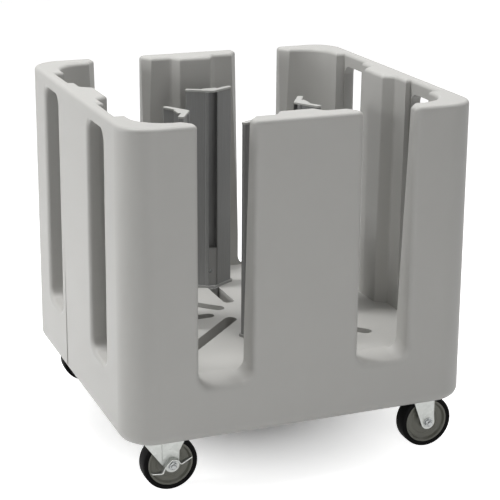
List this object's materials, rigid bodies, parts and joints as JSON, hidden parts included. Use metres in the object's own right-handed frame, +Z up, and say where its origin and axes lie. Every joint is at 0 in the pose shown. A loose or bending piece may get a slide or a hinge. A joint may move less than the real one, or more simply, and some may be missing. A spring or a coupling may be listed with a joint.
{
  "type": "adjustable dish caddy",
  "caption": "Open box-shaped dish caddy on casters, with hand openings and sliding V-shaped towers that divide the deck into wells for stacked plates.",
  "frame": {"origin": "on the floor, under the middle of the body", "axes": "+X to the right, towards the rigid casters; +Y to the back; +Z up"},
  "size_m": [0.7312, 0.7082, 0.735],
  "materials": {
    "body": "light grey moulded polyethylene, fine orange-peel texture",
    "column": "dark grey extruded plastic, satin",
    "cap": "light grey moulded plastic",
    "foot": "mid grey moulded plastic",
    "fork": "bright zinc plate",
    "race": "hardened steel",
    "fastener": "zinc plate",
    "insert": "turned brass",
    "bush": "natural nylon",
    "hub": "grey moulded plastic",
    "tyre": "black rubber"
  },
  "bodies": {
    "cart_body": {"body_shell": "body", "threaded_inserts": "insert", "caster_bolts": "fastener", "front_left_plate": "fork", "front_left_kingpin": "fork", "front_left_ball_cage": "race", "rear_left_plate": "fork", "rear_left_kingpin": "fork", "rear_left_ball_cage": "race", "front_right_fork": "fork", "front_right_axle": "fastener", "front_right_nut": "fastener", "front_right_bush": "bush", "rear_right_fork": "fork", "rear_right_axle": "fastener", "rear_right_nut": "fastener", "rear_right_bush": "bush"},
    "back_tower": {"tower_back_column": "column", "tower_back_cap": "cap", "tower_back_foot": "foot", "tower_back_screw": "fastener"},
    "left_tower": {"tower_left_column": "column", "tower_left_cap": "cap", "tower_left_foot": "foot", "tower_left_screw": "fastener"},
    "front_tower": {"tower_front_column": "column", "tower_front_cap": "cap", "tower_front_foot": "foot", "tower_front_screw": "fastener"},
    "right_tower": {"tower_right_column": "column", "tower_right_cap": "cap", "tower_right_foot": "foot", "tower_right_screw": "fastener"},
    "front_left_swivel": {"front_left_fork": "fork", "front_left_axle": "fastener", "front_left_nut": "fastener", "front_left_bush": "bush"},
    "front_left_wheel": {"front_left_hub": "hub", "front_left_tyre": "tyre"},
    "front_left_brake": {"front_left_brake_lever": "fork"},
    "rear_left_swivel": {"rear_left_fork": "fork", "rear_left_axle": "fastener", "rear_left_nut": "fastener", "rear_left_bush": "bush"},
    "rear_left_wheel": {"rear_left_hub": "hub", "rear_left_tyre": "tyre"},
    "rear_left_brake": {"rear_left_brake_lever": "fork"},
    "front_right_wheel": {"front_right_hub": "hub", "front_right_tyre": "tyre"},
    "rear_right_wheel": {"rear_right_hub": "hub", "rear_right_tyre": "tyre"}
  },
  "joints": [
    {"name": "back_tower_slide", "type": "slide", "parent": "cart_body", "child": "back_tower", "axis": [0, 1, 0], "range_m": [-0.098, 0.013]},
    {"name": "left_tower_slide", "type": "slide", "parent": "cart_body", "child": "left_tower", "axis": [-1, 0, 0], "range_m": [-0.047, 0.064]},
    {"name": "front_tower_slide", "type": "slide", "parent": "cart_body", "child": "front_tower", "axis": [0, -1, 0], "range_m": [-0.038, 0.073]},
    {"name": "right_tower_slide", "type": "slide", "parent": "cart_body", "child": "right_tower", "axis": [1, 0, 0], "range_m": [-0.051, 0.06]},
    {"name": "front_left_swivel_turn", "type": "hinge", "parent": "cart_body", "child": "front_left_swivel", "pos_m": [-0.284, -0.296, 0.117], "axis": [0, 0, 1], "continuous": true},
    {"name": "front_left_wheel_spin", "type": "hinge", "parent": "front_left_swivel", "child": "front_left_wheel", "pos_m": [-0.267, -0.296, 0.056], "axis": [0, 1, 0], "continuous": true},
    {"name": "front_left_brake_turn", "type": "hinge", "parent": "front_left_swivel", "child": "front_left_brake", "pos_m": [-0.267, -0.3245, 0.056], "axis": [0, 1, 0], "range_deg": [0, 25]},
    {"name": "rear_left_swivel_turn", "type": "hinge", "parent": "cart_body", "child": "rear_left_swivel", "pos_m": [-0.284, 0.296, 0.117], "axis": [0, 0, 1], "continuous": true},
    {"name": "rear_left_wheel_spin", "type": "hinge", "parent": "rear_left_swivel", "child": "rear_left_wheel", "pos_m": [-0.267, 0.296, 0.056], "axis": [0, 1, 0], "continuous": true},
    {"name": "rear_left_brake_turn", "type": "hinge", "parent": "rear_left_swivel", "child": "rear_left_brake", "pos_m": [-0.267, 0.3245, 0.056], "axis": [0, 1, 0], "range_deg": [0, 25]},
    {"name": "front_right_wheel_spin", "type": "hinge", "parent": "cart_body", "child": "front_right_wheel", "pos_m": [0.295, -0.296, 0.056], "axis": [0, 1, 0], "continuous": true},
    {"name": "rear_right_wheel_spin", "type": "hinge", "parent": "cart_body", "child": "rear_right_wheel", "pos_m": [0.295, 0.296, 0.056], "axis": [0, 1, 0], "continuous": true}
  ]
}
